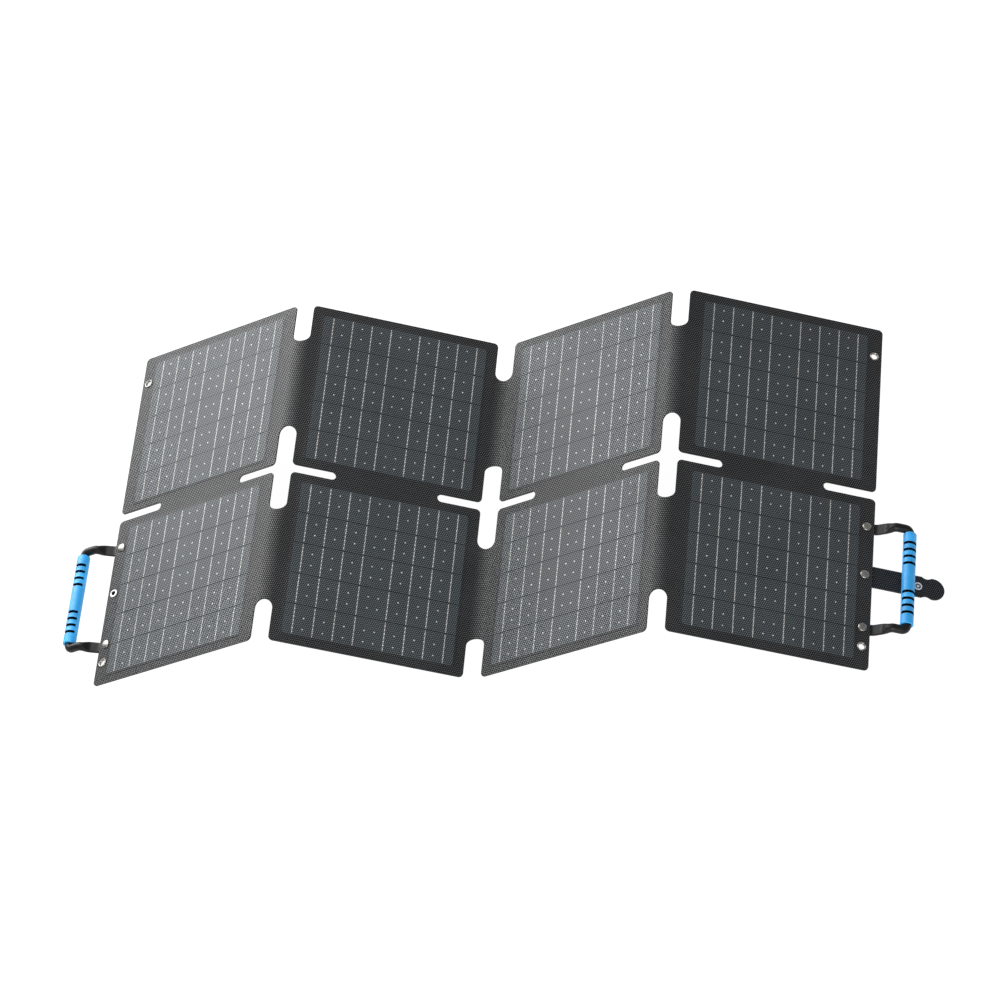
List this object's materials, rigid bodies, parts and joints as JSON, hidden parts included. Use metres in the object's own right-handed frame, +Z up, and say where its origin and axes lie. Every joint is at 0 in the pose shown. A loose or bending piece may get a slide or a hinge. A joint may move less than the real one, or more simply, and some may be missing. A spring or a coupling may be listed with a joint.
{
  "type": "foldable solar panel",
  "caption": "Portable folding solar panel: thin flexible laminate with cell blocks in two rows, creases between the columns, a carrying handle at each end and a snap strap.",
  "frame": {"origin": "under the middle of the object's overall box, at the height of its lowest point, the strap's tip", "axes": "+X across the columns, from the stud's side to the strap's side; +Y along the folds, from the row with the handles to the row without; +Z up, out of the cell side"},
  "size_m": [0.9394, 0.422, 0.1274],
  "materials": {
    "film": "fine embossed dots, semi-matt charcoal",
    "back_fabric": "matt black woven polyester",
    "backing_board": "plain glass-fibre board",
    "cell": "dark slate-blue silicon under the film",
    "handle_tube": "black powder coat on steel tube",
    "grip": "smooth bright blue",
    "grip_core": "matt black",
    "nickel": "nickel-plated, bright",
    "strap": "black laminate over webbing",
    "housing": "fine moulded texture, black",
    "gasket": "matt black",
    "circuit": "green solder mask",
    "diode": "moulded black",
    "socket": "smooth black with a bright pin"
  },
  "bodies": {
    "col2": {"front_film_col2": "film", "back_fabric_col2": "back_fabric", "backing_board_top_col2": "backing_board", "backing_board_bottom_col2": "backing_board", "cell_string_top_col2": "cell", "cell_string_bottom_col2": "cell"},
    "crease12": {"crease12_top": "film", "crease12_bottom": "film"},
    "col1": {"front_film_col1": "film", "back_fabric_col1": "back_fabric", "backing_board_top_col1": "backing_board", "backing_board_bottom_col1": "backing_board", "cell_string_top_col1": "cell", "cell_string_bottom_col1": "cell", "eyelet_left_bottom": "nickel", "eyelet_left_top": "nickel", "handle_rivet_left_upper": "nickel", "handle_rivet_left_lower": "nickel", "handle_tube_left": "handle_tube", "grip_core_left": "grip_core", "grip_sleeve_left": "grip", "snap_stud": "nickel"},
    "crease23": {"crease23_top": "film", "crease23_bottom": "film"},
    "col3": {"front_film_col3": "film", "back_fabric_col3": "back_fabric", "backing_board_top_col3": "backing_board", "backing_board_bottom_col3": "backing_board", "cell_string_top_col3": "cell", "cell_string_bottom_col3": "cell"},
    "crease34": {"crease34_top": "film", "crease34_bottom": "film"},
    "col4": {"front_film_col4": "film", "back_fabric_col4": "back_fabric", "backing_board_top_col4": "backing_board", "backing_board_bottom_col4": "backing_board", "cell_string_top_col4": "cell", "cell_string_bottom_col4": "cell", "eyelet_right_bottom": "nickel", "eyelet_right_top": "nickel", "handle_rivet_right_upper": "nickel", "handle_rivet_right_lower": "nickel", "strap_rivet": "nickel", "handle_tube_right": "handle_tube", "grip_core_right": "grip_core", "grip_sleeve_right": "grip", "strap_root": "strap", "junction_box_base": "housing", "junction_box_gasket": "gasket", "junction_box_lid": "housing", "junction_box_screw_left": "nickel", "junction_box_screw_right": "nickel", "diode_board": "circuit", "blocking_diode": "diode", "output_socket": "socket"},
    "strap_band": {"strap_band": "strap"},
    "strap_tip": {"strap_tip": "strap", "snap_cap": "nickel", "snap_socket": "nickel"}
  },
  "joints": [
    {"name": "valley_fold", "type": "hinge", "parent": "col2", "child": "col3", "pos_m": [-0.01366, 0, 0.04091], "axis": [0, -1, 0], "range_deg": [-49.44, 130.56]},
    {"name": "left_ridge_fold", "type": "hinge", "parent": "col2", "child": "col1", "pos_m": [-0.22096, 0, 0.12314], "axis": [0, -1, 0], "range_deg": [-49.44, 130.56]},
    {"name": "right_ridge_fold", "type": "hinge", "parent": "col3", "child": "col4", "pos_m": [0.19363, 0, 0.12314], "axis": [0, 1, 0], "range_deg": [-49.44, 130.56]},
    {"name": "valley_crease_turn", "type": "hinge", "parent": "col2", "child": "crease23", "pos_m": [-0.01366, 0, 0.04091], "axis": [0, -1, 0], "range_deg": [-24.72, 65.28]},
    {"name": "left_ridge_crease_turn", "type": "hinge", "parent": "col2", "child": "crease12", "pos_m": [-0.22096, 0, 0.12314], "axis": [0, -1, 0], "range_deg": [-24.72, 65.28]},
    {"name": "right_ridge_crease_turn", "type": "hinge", "parent": "col3", "child": "crease34", "pos_m": [0.19363, 0, 0.12314], "axis": [0, 1, 0], "range_deg": [-24.72, 65.28]},
    {"name": "strap_wrap", "type": "hinge", "parent": "col4", "child": "strap_band", "pos_m": [0.39839, -0.098, 0.03262], "axis": [0, 1, 0], "range_deg": [0, 90]},
    {"name": "strap_curl", "type": "hinge", "parent": "strap_band", "child": "strap_tip", "pos_m": [0.43415, -0.098, 0.01681], "axis": [0, 1, 0], "range_deg": [-40, 90]}
  ],
  "couplings": [
    {"joint": "left_ridge_fold", "follows": "valley_fold", "ratio": 1},
    {"joint": "right_ridge_fold", "follows": "valley_fold", "ratio": 1},
    {"joint": "valley_crease_turn", "follows": "valley_fold", "ratio": 0.5},
    {"joint": "left_ridge_crease_turn", "follows": "valley_fold", "ratio": 0.5},
    {"joint": "right_ridge_crease_turn", "follows": "valley_fold", "ratio": 0.5}
  ]
}
